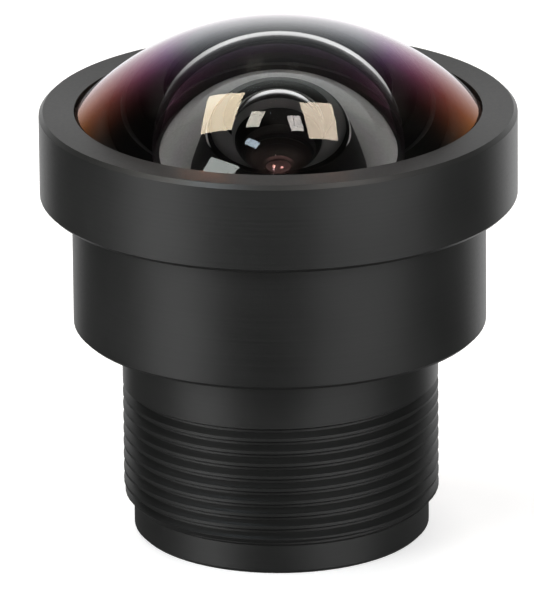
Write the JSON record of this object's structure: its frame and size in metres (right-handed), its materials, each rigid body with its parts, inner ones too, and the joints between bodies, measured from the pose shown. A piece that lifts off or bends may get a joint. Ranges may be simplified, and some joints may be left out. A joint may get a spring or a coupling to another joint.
{
  "type": "board camera lens",
  "caption": "Wide-angle board camera lens with a domed front glass, a stepped black barrel and a fine mounting thread.",
  "frame": {"origin": "centre of the rear face, the end nearest the image sensor, on which the lens stands", "axes": "+Z along the optical axis towards the scene; +X and +Y are across it, and the picture is taken from the -Y side"},
  "size_m": [0.018, 0.018, 0.0198],
  "materials": {
    "barrel_metal": "black anodised, satin",
    "ring_metal": "black anodised, satin",
    "spacer_metal": "black anodised, turned",
    "stop_metal": "blackened sheet",
    "seal_rubber": "matte",
    "mask_foil": "matte black",
    "front_glass": "polished, coated",
    "second_glass": "polished, coated",
    "inner_glass": "polished, coated",
    "filter_glass": "polished, coated to reflect red"
  },
  "bodies": {
    "lens": {"lens_barrel": "barrel_metal", "front_element": "front_glass", "front_element_seal": "seal_rubber", "front_element_foil": "mask_foil", "front_spacer": "spacer_metal", "second_element": "second_glass", "second_element_foil": "mask_foil", "middle_spacer": "spacer_metal", "third_element": "inner_glass", "aperture_stop": "stop_metal", "fourth_element": "inner_glass", "rear_group_spacer": "spacer_metal", "doublet_front_element": "inner_glass", "doublet_rear_element": "inner_glass", "rear_spacer": "spacer_metal", "rear_foil": "mask_foil", "rear_retaining_ring": "ring_metal", "infrared_filter": "filter_glass"},
    "ring_seal": {"front_ring_seal": "seal_rubber"},
    "ring": {"front_retaining_ring": "ring_metal"}
  },
  "joints": [
    {"name": "front_ring_travel", "type": "slide", "parent": "lens", "child": "ring_seal", "axis": [0, 0, 1], "range_m": [0, 0.001]},
    {"name": "front_ring_turn", "type": "hinge", "parent": "ring_seal", "child": "ring", "pos_m": [0, 0, 0.0135], "axis": [0, 0, 1], "range_deg": [0, 720]}
  ],
  "couplings": [
    {"joint": "front_ring_turn", "follows": "front_ring_travel", "rad_per_m": 12566}
  ]
}
